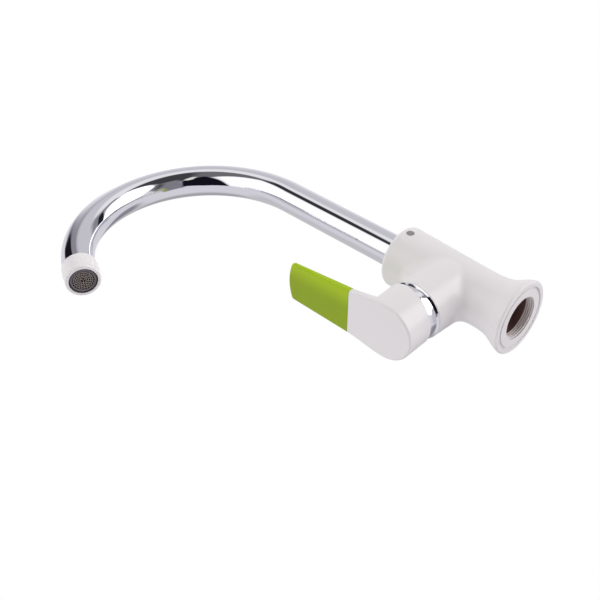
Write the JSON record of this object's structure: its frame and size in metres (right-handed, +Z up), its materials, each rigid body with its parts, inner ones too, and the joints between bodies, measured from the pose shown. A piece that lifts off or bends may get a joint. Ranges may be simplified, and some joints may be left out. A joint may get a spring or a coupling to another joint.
{
  "type": "kitchen mixer tap",
  "caption": "Single-lever kitchen mixer tap with a round white body, a front lever with a coloured sleeve, and a tall swivelling chrome spout with an aerator.",
  "frame": {"origin": "centre of the base's threaded hole, on the face that stands on the worktop", "axes": "+Z up the body's axis, which is the spout's swivel axis; the outlet and the lever face -Y"},
  "size_m": [0.054, 0.2154, 0.315],
  "materials": {
    "white_lacquer": "smooth satin white lacquer on a cast metal body",
    "polished_chrome": "mirror chrome plate",
    "bare_brass": "turned brass",
    "stainless_steel": "plain stainless steel",
    "alumina_ceramic": "lapped alumina",
    "ivory_acetal": "moulded acetal",
    "black_acetal": "moulded black acetal",
    "grey_acetal": "moulded grey acetal",
    "black_rubber": "moulded nitrile rubber",
    "green_silicone": "soft matt lime green silicone",
    "grey_plug_plastic": "glossy pale grey plug"
  },
  "bodies": {
    "body": {"body_casting": "white_lacquer", "cartridge_base": "ivory_acetal", "floor_seals": "black_rubber", "disc_seals": "black_rubber", "fixed_disc": "alumina_ceramic", "cartridge_housing": "ivory_acetal", "cartridge_nut": "bare_brass", "cartridge_cover": "polished_chrome", "spout_slide_ring": "ivory_acetal", "spout_lock_screw": "stainless_steel"},
    "rotor": {"cartridge_rotor": "ivory_acetal", "pivot_pin": "stainless_steel"},
    "disc": {"moving_disc": "alumina_ceramic", "disc_carrier": "ivory_acetal"},
    "handle": {"lever_stem": "stainless_steel", "lever_handle": "white_lacquer", "lever_grub_screw": "stainless_steel", "indicator_plug": "grey_plug_plastic"},
    "sleeve": {"grip_sleeve": "green_silicone"},
    "spout": {"spout_tube": "polished_chrome", "spout_fitting": "bare_brass", "spout_o_rings": "black_rubber", "outlet_bush": "bare_brass", "outlet_collar": "white_lacquer", "outlet_washer": "black_rubber", "aerator_housing": "black_acetal", "aerator_insert": "grey_acetal", "aerator_grid": "grey_acetal", "aerator_screens": "stainless_steel"}
  },
  "joints": [
    {"name": "spout_swivel", "type": "hinge", "parent": "body", "child": "spout", "pos_m": [0, 0, 0.0951], "axis": [0, 0, 1], "continuous": true},
    {"name": "handle_turn", "type": "hinge", "parent": "body", "child": "rotor", "pos_m": [0, -0.0465, 0.0548], "axis": [0, -1, 0], "range_deg": [-45, 45]},
    {"name": "handle_lift", "type": "hinge", "parent": "rotor", "child": "handle", "pos_m": [0, -0.0465, 0.0548], "axis": [1, 0, 0], "range_deg": [0, 20]},
    {"name": "disc_slide", "type": "slide", "parent": "rotor", "child": "disc", "axis": [0, 0, 1], "range_m": [0, 0.0058]},
    {"name": "sleeve_pull", "type": "slide", "parent": "handle", "child": "sleeve", "axis": [0, -0.0349, 0.9994], "range_m": [0, 0.05]}
  ],
  "couplings": [
    {"joint": "disc_slide", "follows": "handle_lift", "m_per_rad": 0.016566}
  ]
}
